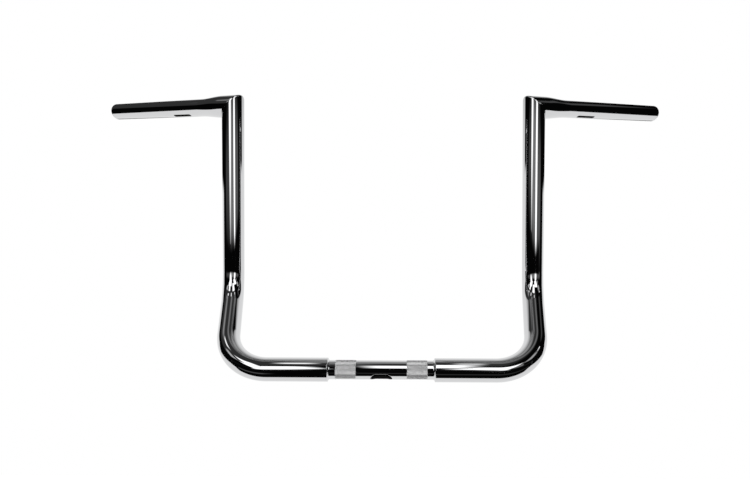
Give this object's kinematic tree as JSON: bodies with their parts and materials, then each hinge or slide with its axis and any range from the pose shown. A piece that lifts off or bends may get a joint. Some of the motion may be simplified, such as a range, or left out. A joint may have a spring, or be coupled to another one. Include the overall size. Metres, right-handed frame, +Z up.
{
  "type": "motorcycle handlebar",
  "caption": "Tall chromed steel motorcycle handlebar: knurled centre clamp tube, bent risers, mitred pointed top corners and swept-back open grip tubes with wiring slots.",
  "frame": {"origin": "on the axis of the clamp section, half-way between the two knurled bands", "axes": "+X to the rider's left, +Y back towards the rider, +Z up with the grips level"},
  "size_m": [0.9348, 0.2935, 0.3837],
  "materials": {
    "chrome_tube": "mirror polished chrome plate on steel tube",
    "chrome_weld": "ground weld under the same chrome plate"
  },
  "bodies": {
    "root": {"centre_tube": "chrome_tube", "left_riser_tube": "chrome_tube", "right_riser_tube": "chrome_tube", "left_grip_tube": "chrome_tube", "right_grip_tube": "chrome_tube", "left_step_weld": "chrome_weld", "right_step_weld": "chrome_weld", "left_mitre_weld": "chrome_weld", "right_mitre_weld": "chrome_weld"}
  },
  "joints": []
}
